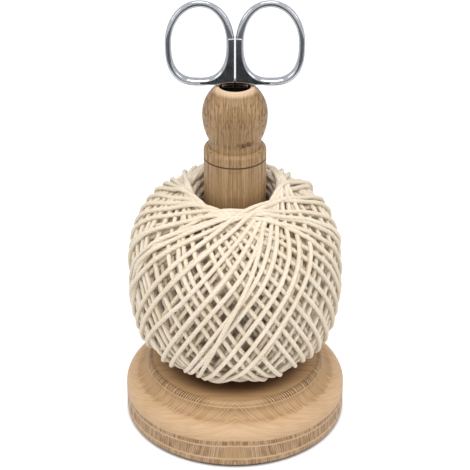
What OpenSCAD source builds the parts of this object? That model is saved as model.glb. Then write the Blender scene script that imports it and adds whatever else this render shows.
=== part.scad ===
// String holder: a turned oak stand carries a ball of cotton string on its post,
// and a small pair of scissors stands in a socket drilled down through the finial.

/* [Base] */
// Diameter of the base
base_d = 105; // [90:1:130]
// Height of the base's upright wall
wall_h = 13.5; // [9:0.5:24]
// Radius of the quarter-round above the wall
bead_r = 6.3; // [4:0.1:8]
// Radius of the cove above the quarter-round
cove_r = 4.3; // [2:0.1:6]
// Height of the upright step under the platform
step_h = 3.5; // [2.5:0.1:8]
// Rounding of the platform's edge
platform_round = 1.6; // [0.5:0.1:2.4]
// Chamfer around the base's lower edge
foot_chamfer = 0.8; // [0.3:0.1:2]
// Thickness of the felt under the base
felt_t = 1; // [0.6:0.1:2]
// How far the felt stays in from the base's wall
felt_inset = 1.6; // [1:0.1:6]

/* [Post] */
// Diameter of the post
post_d = 28; // [26:0.5:34]
// Length of post that shows between the ball and the rounded shoulder
post_show = 20.8; // [10:0.1:40]
// Diameter of the neck under the finial
neck_d = 23.4; // [21:0.1:25]
// Length of the neck
neck_h = 3.2; // [1:0.1:8]
// How far the incised line lies below the shoulder
line_drop = 3.3; // [1.5:0.1:9]
// Width of the incised line
line_w = 1; // [0.5:0.1:2]
// Depth of the incised line
line_depth = 0.6; // [0.2:0.1:1.2]
// Diameter of the tenon that the base holds
tenon_d = 18; // [14:0.5:22]
// Length of the tenon
tenon_l = 16; // [10:0.5:20]
// Room around and under the tenon
tenon_clear = 0.1; // [0.05:0.01:0.4]

/* [Finial] */
// Diameter of the finial at its widest
finial_d = 28.9; // [26:0.1:36]
// Rise from the neck to the widest place
finial_low = 11.8; // [8:0.1:18]
// Rise from the widest place to the lip
finial_up = 12.2; // [8:0.1:18]
// Radius of the rounded lip of the socket
lip_r = 1; // [0.5:0.1:1.5]

/* [Wood screw] */
// Diameter of the screw that holds the post
screw_d = 4.2; // [3:0.1:5]
// Diameter of the screw's countersunk head
screw_head_d = 8.4; // [7:0.1:11]
// Length of the screw
screw_l = 38; // [30:1:50]
// Room around the screw
screw_clear = 0.1; // [0.05:0.01:0.4]

/* [Ball of string] */
// Diameter of the ball
ball_d = 100; // [86:1:115]
// Height of the ball
ball_h = 87; // [74:1:100]
// Thickness of the string
string_d = 1.9; // [1.5:0.1:2.1]
// Space between turns that cross
turn_gap = 0.75; // [0.6:0.05:1.2]
// Loops in the outer winding
loops = 24; // [16:1:24]
// Fullness of the ball's outline, where two is an ellipse
ball_full = 3; // [2.4:0.1:3.4]
// Room between the post and the ball's hole
hole_clear = 2.7; // [1.5:0.1:4]
// Room between the ball and the platform
seat_clear = 0.3; // [0.2:0.05:0.6]

/* [Scissors] */
// Width of one finger bow
bow_w = 29.8; // [24:0.1:34]
// Height of one finger bow
bow_h = 38.2; // [30:0.1:46]
// Width of a bow's band in the plane of the scissors
bow_band = 2.6; // [2:0.1:4]
// Thickness of a bow through the scissors
bow_t = 4.4; // [3.6:0.1:5.2]
// Gap between the closed bows
bow_gap = 0.72; // [0.4:0.02:1.6]
// Thickness of the web between the bow and the shank
web_t = 3.8; // [3.4:0.1:4.4]
// Width of the shanks where they enter the socket
shank_w = 10.6; // [8:0.1:11.6]
// Thickness of one blade
blade_t = 1.7; // [1.2:0.1:2]
// Length from the pivot to the tips
blade_l = 62; // [45:1:75]
// Width of a blade's tip
tip_w = 1.2; // [0.6:0.1:2]
// How far the blades overlap past the middle when closed
blade_lap = 1.2; // [0.6:0.1:2]
// Depth of the pivot below the socket's lip
pivot_drop = 10; // [7:0.5:16]
// Diameter of the pivot screw
pivot_d = 3; // [2:0.1:4]
// Diameter of the pivot screw's head
pivot_head_d = 6.4; // [5:0.1:8]
// Height of the pivot screw's head
pivot_head_h = 1.2; // [0.8:0.1:1.6]
// Clearance of the pivot and between the two blades
pivot_clear = 0.08; // [0.04:0.01:0.1]
// Height of the closed bows' web over the lip
rest_gap = 0.8; // [0.5:0.05:1]
// Room between the shanks and the socket's wall
socket_clear = 1.5; // [1.2:0.1:2.4]
// Room under the blades' tips
tip_clear = 0.3; // [0.2:0.1:2]

/* [Hidden] */
$fn = 64;

OAK = [0.74, 0.6, 0.45];
OAK_POST = [0.68, 0.55, 0.41];
STRING = [0.92, 0.88, 0.79];
STRING_SHADE = [0.72, 0.66, 0.54];
STEEL = [0.55, 0.56, 0.58];
SCREW_STEEL = [0.6, 0.58, 0.52];
FELT = [0.16, 0.14, 0.12];

// Heights of the base, from the surface that the felt stands on
base_r = base_d / 2;
wall_top = felt_t + wall_h;
bead_top = wall_top + bead_r;
step_foot = bead_top + cove_r;
base_top = step_foot + step_h;
platform_r = base_r - bead_r - cove_r;

// Heights of the ball and of the post above it
ball_bottom = base_top + seat_clear;
ball_mid = ball_bottom + ball_h / 2;
post_r = post_d / 2;
hole_r = post_r + hole_clear;
shoulder_z = ball_bottom + ball_h + post_show;
neck_r = neck_d / 2;
shoulder_r = post_r - neck_r;
neck_top = shoulder_z + shoulder_r + neck_h;
widest_z = neck_top + finial_low;
finial_r = finial_d / 2;
socket_r = shank_w / 2 + socket_clear;
lip_z = widest_z + finial_up;
lip_top = lip_z + lip_r;
lip_out_r = socket_r + 2 * lip_r;

// Heights of the scissors and of the socket
pivot_z = lip_top - pivot_drop;
socket_floor = pivot_z - blade_l - tip_clear;

// The wood screw runs up through the base into the tenon
tenon_r = tenon_d / 2;
tenon_chamfer = 1;
tenon_z = base_top - tenon_l;
screw_r = screw_d / 2;
screw_head_r = screw_head_d / 2;
screw_head_h = screw_head_r - screw_r;
screw_recess = 0.4;
screw_z = felt_t + screw_recess;
screw_point = 5;
screw_slot_w = 1.2;
screw_slot_depth = 1;
pilot_spare = 1;
pilot_top = screw_z + screw_l + pilot_spare;

ARC_STEPS = 8;

// Points along an arc of a circle
function arc(centre, r, from, to) =
    [for (i = [0 : ARC_STEPS])
        let (a = from + (to - from) * i / ARC_STEPS)
        centre + r * [cos(a), sin(a)]];

// Points along the finial's side: an ellipse of half height h about the widest place
function finial_side(h, from, to) =
    [for (i = [0 : ARC_STEPS])
        let (a = from + (to - from) * i / ARC_STEPS)
        [finial_r * cos(a), widest_z + h * sin(a)]];

module base() {
    bead_centre = [base_r - bead_r, wall_top];
    cove_centre = [base_r - bead_r, step_foot];
    edge_centre = [platform_r - platform_round, base_top - platform_round];
    mortise_r = tenon_r + tenon_clear;
    mortise_z = tenon_z - tenon_clear;
    hole_for_screw = screw_r + screw_clear;
    sink_r = screw_head_r + screw_clear;
    color(OAK)
        rotate_extrude()
            polygon(concat(
                [[sink_r, felt_t], [base_r - foot_chamfer, felt_t], [base_r, felt_t + foot_chamfer]],
                arc(bead_centre, bead_r, 0, 90),
                arc(cove_centre, cove_r, 270, 180),
                arc(edge_centre, platform_round, 0, 90),
                [[mortise_r, base_top], [mortise_r, mortise_z], [hole_for_screw, mortise_z],
                 [hole_for_screw, screw_z + screw_head_h], [sink_r, screw_z]]));
}

module felt_pad() {
    color(FELT)
        cylinder(h = felt_t, r = base_r - felt_inset);
}

module post() {
    low_end = acos(neck_r / finial_r);
    up_end = acos(lip_out_r / finial_r);
    line_z = shoulder_z - line_drop;
    pilot_r = screw_r + screw_clear;
    color(OAK_POST)
        rotate_extrude()
            polygon(concat(
                [[pilot_r, tenon_z], [tenon_r - tenon_chamfer, tenon_z], [tenon_r, tenon_z + tenon_chamfer],
                 [tenon_r, base_top], [post_r, base_top],
                 [post_r, line_z - line_w / 2], [post_r - line_depth, line_z], [post_r, line_z + line_w / 2]],
                arc([neck_r, shoulder_z], shoulder_r, 0, 90),
                finial_side(finial_low / sin(low_end), -low_end, 0),
                finial_side(finial_up / sin(up_end), 0, up_end),
                arc([socket_r + lip_r, lip_z], lip_r, 0, 180),
                [[socket_r, socket_floor], [0, socket_floor], [0, pilot_top], [pilot_r, pilot_top]]));
}

module post_screw() {
    color(SCREW_STEEL)
        difference() {
            rotate_extrude()
                polygon([[0, screw_z], [screw_head_r, screw_z], [screw_r, screw_z + screw_head_h],
                         [screw_r, screw_z + screw_l - screw_point], [0, screw_z + screw_l]]);
            translate([-screw_head_r, -screw_slot_w / 2, screw_z - screw_slot_depth])
                cube([screw_head_d, screw_slot_w, 2 * screw_slot_depth]);
        }
}

// The winding lies on a barrel-shaped surface about the ball's middle. Each loop is a tilted
// ring that touches the hole's rim above and below, and each is turned on from the last one.
// Rising halves lie over falling halves, further apart near the rims where the turns crowd.
RINGS = 24;
SIDES = 6;
half_loop = RINGS / 2;
loop_turn = 360 / loops;
string_r = string_d / 2;
pitch = string_d + turn_gap;
rim_step = 15;
rim_rings = 2;
lift_shares = [0, 1.15, 2.05, 1.3, 0.5];
rim_lift = max(lift_shares) * pitch;
side_lift = lift_shares[len(lift_shares) - 1] * pitch;
barrel_r = ball_d / 2 - string_r - side_lift;
rim_r = hole_r + string_r;
core_clear = 0.3;
end_gap = 0.05;
end_rings = 5;
first_ring = -end_rings;
last_ring = RINGS * loops - half_loop + end_rings;
start_turn = 180;

function unit(v) = v / norm(v);

// Radius and height on the outline of a barrel of half height h, at an angle above its middle
function barrel(angle, h = barrel_h) =
    let (reach = pow(pow(cos(angle) / barrel_r, ball_full)
                     + pow(abs(sin(angle)) / h, ball_full), -1 / ball_full))
    reach * [cos(angle), sin(angle)];

// Outward direction, as radius and height, at that point
function barrel_normal(angle, h = barrel_h) =
    let (p = barrel(angle, h))
    unit([pow(p[0], ball_full - 1) / pow(barrel_r, ball_full),
          sign(p[1]) * pow(abs(p[1]), ball_full - 1) / pow(h, ball_full)]);

// The same outline moved outward
function off_barrel(angle, lift, h = barrel_h) = barrel(angle, h) + lift * barrel_normal(angle, h);

// Angle above the middle at which the barrel has the radius of the hole's rim
function rim_angle(h) = atan2(h * pow(1 - pow(rim_r / barrel_r, ball_full), 1 / ball_full), rim_r);

// The barrel's half height leaves the ball's height to the turns that stand highest near the rim
plain_h = ball_h / 2 - string_r - rim_lift;
crowd_angle = atan(tan(rim_angle(plain_h)) * cos(rim_step * rim_rings));
barrel_h = ball_h / 2 - string_r + plain_h - off_barrel(crowd_angle, rim_lift, plain_h)[1];
tilt = rim_angle(barrel_h);

// Angle travelled round a tilted ring: close steps at its top and bottom, even ones between
function near_rim(k) = atan(cos(tilt) * tan(rim_step * k));
function half_angle(k) =
    k <= rim_rings ? near_rim(k)
    : k >= half_loop - rim_rings ? 180 - near_rim(half_loop - k)
    : near_rim(rim_rings)
      + (180 - 2 * near_rim(rim_rings)) * (k - rim_rings) / (half_loop - 2 * rim_rings);
function ring_angle(k) = k < half_loop ? half_angle(k) : 180 + half_angle(k - half_loop);

// The core lies under the lowest turns and under the sag of a straight stretch between two rings
long_step = half_angle(half_loop / 2) - half_angle(half_loop / 2 - 1);
chord_sag = barrel_r * (1 - cos(long_step / 2));
core_drop = side_lift + string_r + chord_sag + core_clear;
rim_drop = rim_lift + string_r + core_clear;

// How far a ring's centre stands off the barrel
function ring_lift(k) =
    let (e = min(k % half_loop, half_loop - k % half_loop),
         share = lift_shares[min(e, len(lift_shares) - 1)])
    (k < half_loop ? -1 : 1) * share * pitch;

// Longitude and latitude of a ring, counted through all the loops
function ring_place(g) =
    let (whole = floor(g / RINGS),
         k = g - whole * RINGS,
         v = ring_angle(k),
         turn = atan2(sin(v), cos(tilt) * cos(v)))
    [start_turn + turn + loop_turn * g / RINGS, asin(sin(tilt) * cos(v)), k];

function on_ball(longitude, p) = [p[0] * cos(longitude), p[0] * sin(longitude), ball_mid + p[1]];

function ring_centre(g) =
    let (p = ring_place(g))
    on_ball(p[0], off_barrel(p[1], ring_lift(p[2])));

// An end of the string goes square into the core, straight for more than its own thickness
function end_points(g, ahead) =
    let (p = ring_place(g),
         n = barrel_normal(p[1]),
         out = [n[0] * cos(p[0]), n[0] * sin(p[0]), n[1]],
         seat = on_ball(p[0], off_barrel(p[1], end_gap - core_drop)),
         to = ring_centre(g + ahead) - ring_centre(g),
         flat = to - (to * out) * out,
         along = flat / norm(flat),
         rise = core_drop - end_gap + side_lift,
         bend = string_d,
         knee = seat + out * (rise - bend))
    concat([seat],
           [for (a = [0, 45, 90]) knee + along * bend * (1 - cos(a)) + out * bend * sin(a)]);

function reversed(list) = [for (i = [len(list) - 1 : -1 : 0]) list[i]];

string_path = concat(
    end_points(first_ring, 1),
    [for (g = [first_ring + 1 : last_ring - 1]) ring_centre(g)],
    reversed(end_points(last_ring, -1)));

// Direction of the string at each point: square to the core at both ends
function heading(path, i) =
    let (last = len(path) - 1)
    i <= 1 ? unit(path[1] - path[0])
    : i >= last - 1 ? unit(path[last] - path[last - 1])
    : unit(unit(path[i + 1] - path[i]) + unit(path[i] - path[i - 1]));

// A side direction for each ring, carried along the string without twist
ANY_SIDE = [1, 2, 3];
function across(v, t) = unit(v - (v * t) * t);
function side_vectors(path) =
    [for (i = 0, s = across(ANY_SIDE, heading(path, 0));
          i < len(path);
          i = i + 1, s = i < len(path) ? across(s, heading(path, i)) : s) s];

function tube_points(path, r) =
    let (sides = side_vectors(path))
    [for (i = [0 : len(path) - 1])
        let (t = heading(path, i), u = sides[i], w = cross(t, u))
        for (j = [0 : SIDES - 1])
            path[i] + r * (u * cos(360 * j / SIDES) + w * sin(360 * j / SIDES))];

function tube_faces(count) =
    let (end = (count - 1) * SIDES)
    concat(
        [for (i = [0 : count - 2], j = [0 : SIDES - 1])
            let (a = i * SIDES + j, b = i * SIDES + (j + 1) % SIDES)
            each [[a, a + SIDES, b], [b, a + SIDES, b + SIDES]]],
        [for (j = [1 : SIDES - 2]) [0, j, j + 1]],
        [for (j = [1 : SIDES - 2]) [end, end + j + 1, end + j]]);

// Least distance between two straight stretches of string
NEAR_ZERO = 0.000001;
function held(x) = min(1, max(0, x));
function stretch_distance(p, q, a, b) =
    let (d = q - p, e = b - a, r = p - a,
         dd = d * d, ee = e * e, de = d * e, dr = d * r, er = e * r,
         den = dd * ee - de * de,
         s0 = den > NEAR_ZERO ? held((de * er - dr * ee) / den) : 0,
         t = held((de * s0 + er) / ee),
         s = held((de * t - dr) / dd))
    norm(p + d * s - a - e * t);

// Least gap of the string to itself: one loop and both ends against the whole string
function least_gap(path) =
    let (last = len(path) - 1,
         ends = 6,
         neighbours = 4,
         tested = concat([for (i = [0 : ends]) i],
                         [for (i = [RINGS : 2 * RINGS]) i],
                         [for (i = [last - ends : last - 1]) i]))
    min([for (i = tested, j = [0 : last - 1])
        if (abs(i - j) > neighbours)
            stretch_distance(path[i], path[i + 1], path[j], path[j + 1])]) - string_d;

module string_winding() {
    echo(least_gap_between_turns_mm = least_gap(string_path));
    color(STRING)
        polyhedron(tube_points(string_path, string_r), tube_faces(len(string_path)), convexity = 10);
}

// The core fills the ball under the outer winding, and is lower towards the crowded rims
module string_core() {
    side_angle = 20;
    ramp_angle = 14;
    end_angle = atan2(barrel_h - rim_drop, hole_r + string_d);
    steps = 24;
    function drop(angle) =
        core_drop + (rim_drop - core_drop) * held((abs(angle) - side_angle) / ramp_angle);
    outline = [for (i = [0 : steps])
        let (a = -end_angle + 2 * end_angle * i / steps)
        off_barrel(a, -drop(a))];
    top = outline[steps][1];
    color(STRING_SHADE)
        translate([0, 0, ball_mid])
            rotate_extrude()
                polygon(concat([[hole_r, -top]], outline, [[hole_r, top]]));
}

// One half of the scissors, drawn about the pivot with its bow to the left and its blade in front
BOW_POINTS = 48;
BOW_SIDES = 12;
bow_full = 2.2;
bow_low = 0.1;
arch_rise = 1.5;
straight_rise = 6;
shank_bite = 1;
web_cut = 0.75;
boss_angle = 60;
back_curve = 1.8;
bow_x = -(bow_gap + bow_w) / 2;
bow_foot = pivot_drop + bow_low;
bow_z = bow_foot + bow_h / 2;
inner_x = -bow_gap / 2;
web_low = pivot_drop + rest_gap;
web_high = bow_z + straight_rise;
half_shank = shank_w / 2;

function signed_pow(v, e) = sign(v) * pow(abs(v), e);

// Outline of the bow, moved in by a distance
function bow_outline(inset) =
    [for (i = [0 : BOW_POINTS - 1])
        let (a = 360 * i / BOW_POINTS)
        [bow_x + (bow_w / 2 - inset) * signed_pow(cos(a), 2 / bow_full),
         bow_z + (bow_h / 2 - inset) * signed_pow(sin(a), 2 / bow_full)]];

// Closed tube of an oval section along the middle of the bow's band
function bow_ring_points() =
    let (mid = bow_outline(bow_band / 2))
    [for (i = [0 : BOW_POINTS - 1])
        let (ahead = mid[(i + 1) % BOW_POINTS],
             behind = mid[(i + BOW_POINTS - 1) % BOW_POINTS],
             t = unit(ahead - behind),
             out = [t[1], -t[0]])
        for (j = [0 : BOW_SIDES - 1])
            let (a = 360 * j / BOW_SIDES,
                 p = mid[i] + out * bow_band / 2 * cos(a))
            [p[0], bow_t / 2 * sin(a), p[1]]];

function bow_ring_faces() =
    [for (i = [0 : BOW_POINTS - 1], j = [0 : BOW_SIDES - 1])
        let (n = (i + 1) % BOW_POINTS,
             m = (j + 1) % BOW_SIDES,
             a = i * BOW_SIDES + j,
             b = i * BOW_SIDES + m,
             c = n * BOW_SIDES + j,
             d = n * BOW_SIDES + m)
        each [[a, c, b], [b, c, d]]];

// A flat piece of the scissors, from one depth to another
module plate(points, front, back) {
    translate([0, back, 0])
        rotate([90, 0, 0])
            linear_extrude(back - front)
                polygon(points);
}

// Web between the bow and the shank: straight inside, arched over the socket
function web_points() =
    concat(
        [[inner_x, web_high]],
        [for (i = [0 : ARC_STEPS])
            let (s = i / ARC_STEPS)
            [inner_x - (lip_out_r + inner_x) * s, web_low + arch_rise * (1 - s * s)]],
        [[bow_x, bow_foot + bow_band / 4], [bow_x, bow_z], [inner_x - bow_band, web_high]]);

// Shank, pivot boss and blade: a straight edge to the tip and a curved back
function blade_points() =
    let (heel = 180 + acos(blade_lap / half_shank),
         tip = tip_w / 2)
    concat(
        [[-half_shank, web_low + shank_bite]],
        arc([0, 0], half_shank, 180, heel),
        [[-tip, -blade_l]],
        [for (i = [ARC_STEPS : -1 : 1])
            let (s = i / ARC_STEPS)
            [tip + (half_shank - tip) * (1 - pow(s, back_curve)), -blade_l * s]],
        arc([0, 0], half_shank, 0, boss_angle),
        [[inner_x, web_low + shank_bite]]);

module scissors_half() {
    color(STEEL)
        difference() {
            union() {
                polyhedron(bow_ring_points(), bow_ring_faces());
                difference() {
                    plate(web_points(), -web_t / 2, web_t / 2);
                    plate(bow_outline(bow_band * web_cut), -web_t, web_t);
                }
                plate(blade_points(), -blade_t - pivot_clear, -pivot_clear);
            }
            rotate([90, 0, 0])
                cylinder(h = 4 * blade_t, r = pivot_d / 2 + pivot_clear, center = true);
        }
}

module scissors_left_half() {
    translate([0, 0, pivot_z])
        scissors_half();
}

module scissors_right_half() {
    translate([0, 0, pivot_z])
        rotate([0, 0, 180])
            scissors_half();
}

// Slotted screw through both halves, spread over a little at its back end
module scissors_pivot_screw() {
    face = blade_t + 2 * pivot_clear;
    shank = pivot_d / 2;
    head_r = pivot_head_d / 2;
    head_edge = 0.4;
    rivet_spread = 0.8;
    rivet_r = shank + rivet_spread;
    rivet_h = 0.6;
    rivet_edge = 0.3;
    slot_w = 0.9;
    slot_depth = 0.6;
    dome = pivot_head_h - head_edge;
    color(SCREW_STEEL)
        translate([0, 0, pivot_z])
            rotate([90, 0, 0])
                difference() {
                    rotate_extrude()
                        polygon(concat(
                            [[0, -face - rivet_h], [rivet_r - rivet_edge, -face - rivet_h],
                             [rivet_r, -face - rivet_edge], [rivet_r, -face], [shank, -face],
                             [shank, face], [head_r, face]],
                            [for (i = [0 : ARC_STEPS])
                                let (a = 90 * i / ARC_STEPS)
                                [head_r * cos(a), face + head_edge + dome * sin(a)]]));
                    translate([-head_r, -slot_w / 2, face + pivot_head_h - slot_depth])
                        cube([pivot_head_d, slot_w, pivot_head_h]);
                }
}

base();
felt_pad();
post();
post_screw();
string_core();
string_winding();
scissors_left_half();
scissors_right_half();
scissors_pivot_screw();
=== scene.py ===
import math
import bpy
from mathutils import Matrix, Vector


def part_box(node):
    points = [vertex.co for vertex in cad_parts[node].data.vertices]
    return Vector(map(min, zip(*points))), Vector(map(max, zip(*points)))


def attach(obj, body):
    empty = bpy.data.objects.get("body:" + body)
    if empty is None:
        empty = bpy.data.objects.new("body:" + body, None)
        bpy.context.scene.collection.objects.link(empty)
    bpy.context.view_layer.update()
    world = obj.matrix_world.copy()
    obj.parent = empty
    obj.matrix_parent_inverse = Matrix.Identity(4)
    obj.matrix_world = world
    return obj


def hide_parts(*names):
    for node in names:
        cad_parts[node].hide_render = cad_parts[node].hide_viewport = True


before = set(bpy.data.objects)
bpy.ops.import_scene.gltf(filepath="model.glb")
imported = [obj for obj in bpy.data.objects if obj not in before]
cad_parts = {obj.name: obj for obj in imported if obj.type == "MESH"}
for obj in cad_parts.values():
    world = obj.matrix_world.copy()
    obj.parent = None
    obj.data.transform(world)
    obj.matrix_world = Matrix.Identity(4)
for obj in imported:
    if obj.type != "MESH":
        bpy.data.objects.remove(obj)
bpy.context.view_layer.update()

from types import SimpleNamespace

import bmesh
import bpy
import numpy as np
from mathutils import Matrix

MM = 0.001
DEG = math.pi / 180

# Camera, fitted to the ellipses of the base, of the ball's hole and of the line round the post
PICTURE_PX = 470
FOCAL_PX = 1386.2
SENSOR = 36.0
EYE = (0.0, -0.560, 0.39827)
LOOKS_DOWN = 28.59 * DEG


def make_camera():
    data = bpy.data.cameras.new("camera")
    data.sensor_width = SENSOR
    data.lens = SENSOR * FOCAL_PX / PICTURE_PX
    camera = bpy.data.objects.new("camera", data)
    camera.location = EYE
    camera.rotation_euler = (math.pi / 2 - LOOKS_DOWN, 0, 0)
    bpy.context.scene.collection.objects.link(camera)
    bpy.context.scene.camera = camera


make_camera()

# Sizes of the stand, in the frame of the solids
FELT_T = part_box("felt_pad")[1].z
FELT_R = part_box("felt_pad")[1].x
BASE_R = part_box("base")[1].x
BASE_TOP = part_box("base")[1].z
POST_R = 14 * MM
POST_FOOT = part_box("post")[0].z
LIP_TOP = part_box("post")[1].z
FINIAL_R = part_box("post")[1].x
WALL_TOP = 14.5 * MM
BEAD_R = 6.3 * MM
COVE_R = 4.3 * MM
COVE_END = 195
LEDGE = 0.4 * MM
LEDGE_RISE = 0.9 * MM
LEDGE_START = -20
PLATFORM_ROUND = 1.7 * MM
FOOT_CHAMFER = 0.8 * MM
TENON_R = 9 * MM
TENON_GAP = 0.1 * MM
TENON_CHAMFER = 1 * MM
SCREW_HOLE_R = 2.2 * MM
SCREW_SINK_R = 4.3 * MM
PILOT_TOP = 40.4 * MM
SHOULDER_Z = 136.7 * MM
NECK_R = 11.7 * MM
NECK_TOP = 142.2 * MM
WIDEST_Z = 154 * MM
LIP_R = 1 * MM
LIP_Z = LIP_TOP - LIP_R
SOCKET_R = 6.8 * MM
SOCKET_FLOOR = 94.9 * MM
LINE_Z = 133.4 * MM
LINE_W = 1 * MM
LINE_DEPTH = 0.6 * MM

# Sizes of the ball of string
BALL_R = 50 * MM
BALL_LOW = 28.9 * MM
BALL_HALF = 43.5 * MM
BALL_MID = BALL_LOW + BALL_HALF
BALL_FULL = 3.0
STRING_R = 1.02 * MM


class Nodes:
    """Short calls that build the node tree of one material."""

    def __init__(self, name):
        self.material = bpy.data.materials.new(name)
        self.material.use_nodes = True
        self.tree = self.material.node_tree
        self.tree.nodes.clear()

    def add(self, kind, **settings):
        node = self.tree.nodes.new(kind)
        for key, value in settings.items():
            setattr(node, key, value)
        return node

    def put(self, socket, value):
        if isinstance(value, bpy.types.NodeSocket):
            self.tree.links.new(value, socket)
        else:
            socket.default_value = value

    def math(self, operation, a, b=0.0):
        node = self.add("ShaderNodeMath", operation=operation)
        self.put(node.inputs[0], a)
        self.put(node.inputs[1], b)
        return node.outputs[0]

    def plus(self, a, b):
        return self.math("ADD", a, b)

    def minus(self, a, b):
        return self.math("SUBTRACT", a, b)

    def times(self, a, b):
        return self.math("MULTIPLY", a, b)

    def most(self, a, b):
        return self.math("MAXIMUM", a, b)

    def radius(self, x, y):
        return self.math("SQRT", self.plus(self.times(x, x), self.times(y, y)))

    def place(self, unit):
        """The point's coordinates on the object, counted in this unit."""
        node = self.add("ShaderNodeTexCoord")
        split = self.add("ShaderNodeSeparateXYZ")
        self.put(split.inputs[0], node.outputs["Object"])
        return [self.times(out, 1 / unit) for out in split.outputs]

    def vector(self, x, y, z):
        node = self.add("ShaderNodeCombineXYZ")
        for socket, value in zip(node.inputs, (x, y, z)):
            self.put(socket, value)
        return node.outputs[0]

    def noise(self, vector, scale=1.0, detail=2.0, rough=0.5, warp=0.0):
        node = self.add("ShaderNodeTexNoise")
        self.put(node.inputs["Vector"], vector)
        node.inputs["Scale"].default_value = scale
        node.inputs["Detail"].default_value = detail
        node.inputs["Roughness"].default_value = rough
        node.inputs["Distortion"].default_value = warp
        return node.outputs[0]

    def span(self, value, low, high, to_low=0.0, to_high=1.0, smooth=True):
        node = self.add("ShaderNodeMapRange", interpolation_type="SMOOTHSTEP" if smooth else "LINEAR")
        for socket, number in zip(node.inputs, (value, low, high, to_low, to_high)):
            self.put(socket, number)
        return node.outputs[0]

    def ramp(self, value, stops):
        """A number led through stops, which pair a place with a level, both from 0 to 1."""
        node = self.add("ShaderNodeValToRGB")
        points = node.color_ramp.elements
        while len(points) < len(stops):
            points.new(1.0)
        for point, (at, level) in zip(points, stops):
            point.position = at
            point.color = (level, level, level, 1)
        self.put(node.inputs[0], value)
        return node.outputs[0]

    def mix(self, share, a, b):
        node = self.add("ShaderNodeMix", data_type="RGBA")
        self.put(node.inputs[0], share)
        self.put(node.inputs[6], a)
        self.put(node.inputs[7], b)
        return node.outputs[2]

    def bump(self, height, strength, distance):
        node = self.add("ShaderNodeBump")
        node.inputs["Strength"].default_value = strength
        node.inputs["Distance"].default_value = distance
        self.put(node.inputs["Height"], height)
        return node.outputs[0]

    def surface(self, **sockets):
        """The principled shader, with its sockets named by words joined with _."""
        shader = self.add("ShaderNodeBsdfPrincipled")
        for key, value in sockets.items():
            self.put(shader.inputs[key.replace("_", " ")], value)
        out = self.add("ShaderNodeOutputMaterial")
        self.tree.links.new(shader.outputs[0], out.inputs[0])
        return self.material


def tone(red, green, blue):
    """A colour given as it shows on screen, from 0 to 255."""
    def linear(c):
        c = c / 255
        return c / 12.92 if c <= 0.04045 else ((c + 0.055) / 1.055) ** 2.4
    return (linear(red), linear(green), linear(blue), 1.0)


def add_piece(name, verts, faces, body, material, replaces=()):
    mesh = bpy.data.meshes.new(name)
    mesh.from_pydata(verts, [], faces)
    mesh.update()
    piece = bpy.data.objects.new(name, mesh)
    bpy.context.scene.collection.objects.link(piece)
    dress(piece, body, material, replaces)
    return piece


def dress(piece, body, material, replaces=()):
    piece.data.materials.clear()
    piece.data.materials.append(material)
    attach(piece, body)
    if replaces:
        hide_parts(*replaces)


def soften(piece, sharp_angle=40 * DEG):
    """Smooth shading, apart from edges sharper than an angle."""
    shape = bmesh.new()
    shape.from_mesh(piece.data)
    bmesh.ops.recalc_face_normals(shape, faces=shape.faces)
    for face in shape.faces:
        face.smooth = True
    for edge in shape.edges:
        edge.smooth = len(edge.link_faces) == 2 and edge.calc_face_angle() < sharp_angle
    shape.to_mesh(piece.data)
    shape.free()


# Turned wood

TURN_STEPS = 224
ARC_STEPS = 20
FINIAL_STEPS = 28
LEDGE_STEPS = 8
MERGE = 1e-7


def arc(centre, radius, start, end, steps=ARC_STEPS):
    angles = np.linspace(start, end, steps + 1) * DEG
    return [(centre[0] + radius * math.cos(a), centre[1] + radius * math.sin(a)) for a in angles]


def oval_arc(centre_z, radius, half_height, start, end, steps=ARC_STEPS):
    angles = np.linspace(start, end, steps + 1) * DEG
    return [(radius * math.cos(a), centre_z + half_height * math.sin(a)) for a in angles]


def turned(name, profile, body, material, replaces):
    """A closed profile of radius and height, turned about the axis."""
    keep = [p for i, p in enumerate(profile) if math.dist(p, profile[i - 1]) > MERGE]
    around = np.linspace(0, 2 * math.pi, TURN_STEPS, endpoint=False)
    verts = [(r * math.cos(a), r * math.sin(a), z) for a in around for r, z in keep]
    count = len(keep)
    faces = []
    for i in range(TURN_STEPS):
        n = (i + 1) % TURN_STEPS
        for j in range(count):
            m = (j + 1) % count
            faces.append((i * count + j, n * count + j, n * count + m, i * count + m))
    piece = add_piece(name, verts, faces, body, material, replaces)
    shape = bmesh.new()
    shape.from_mesh(piece.data)
    bmesh.ops.remove_doubles(shape, verts=shape.verts, dist=MERGE)
    shape.to_mesh(piece.data)
    shape.free()
    soften(piece)
    return piece


def base_profile():
    bead_top = WALL_TOP + BEAD_R
    bead_x = BASE_R - BEAD_R
    cove_top = bead_top + COVE_R
    riser_r = bead_x - COVE_R
    round_at = (riser_r - PLATFORM_ROUND, BASE_TOP - PLATFORM_ROUND)
    mortise_z = POST_FOOT - TENON_GAP
    mortise_r = TENON_R + TENON_GAP
    sink_h = SCREW_SINK_R - SCREW_HOLE_R
    return ([(SCREW_SINK_R, FELT_T), (BASE_R - FOOT_CHAMFER, FELT_T), (BASE_R, FELT_T + FOOT_CHAMFER)]
            + arc((bead_x, WALL_TOP), BEAD_R, 0, 90)
            + arc((bead_x, cove_top), COVE_R, 270, COVE_END)
            + arc((riser_r, cove_top + LEDGE_RISE), LEDGE, LEDGE_START, 90, LEDGE_STEPS)
            + arc(round_at, PLATFORM_ROUND, 0, 90)
            + [(mortise_r, BASE_TOP), (mortise_r, mortise_z), (SCREW_HOLE_R, mortise_z),
               (SCREW_HOLE_R, FELT_T + sink_h), (SCREW_SINK_R, FELT_T)])


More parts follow.
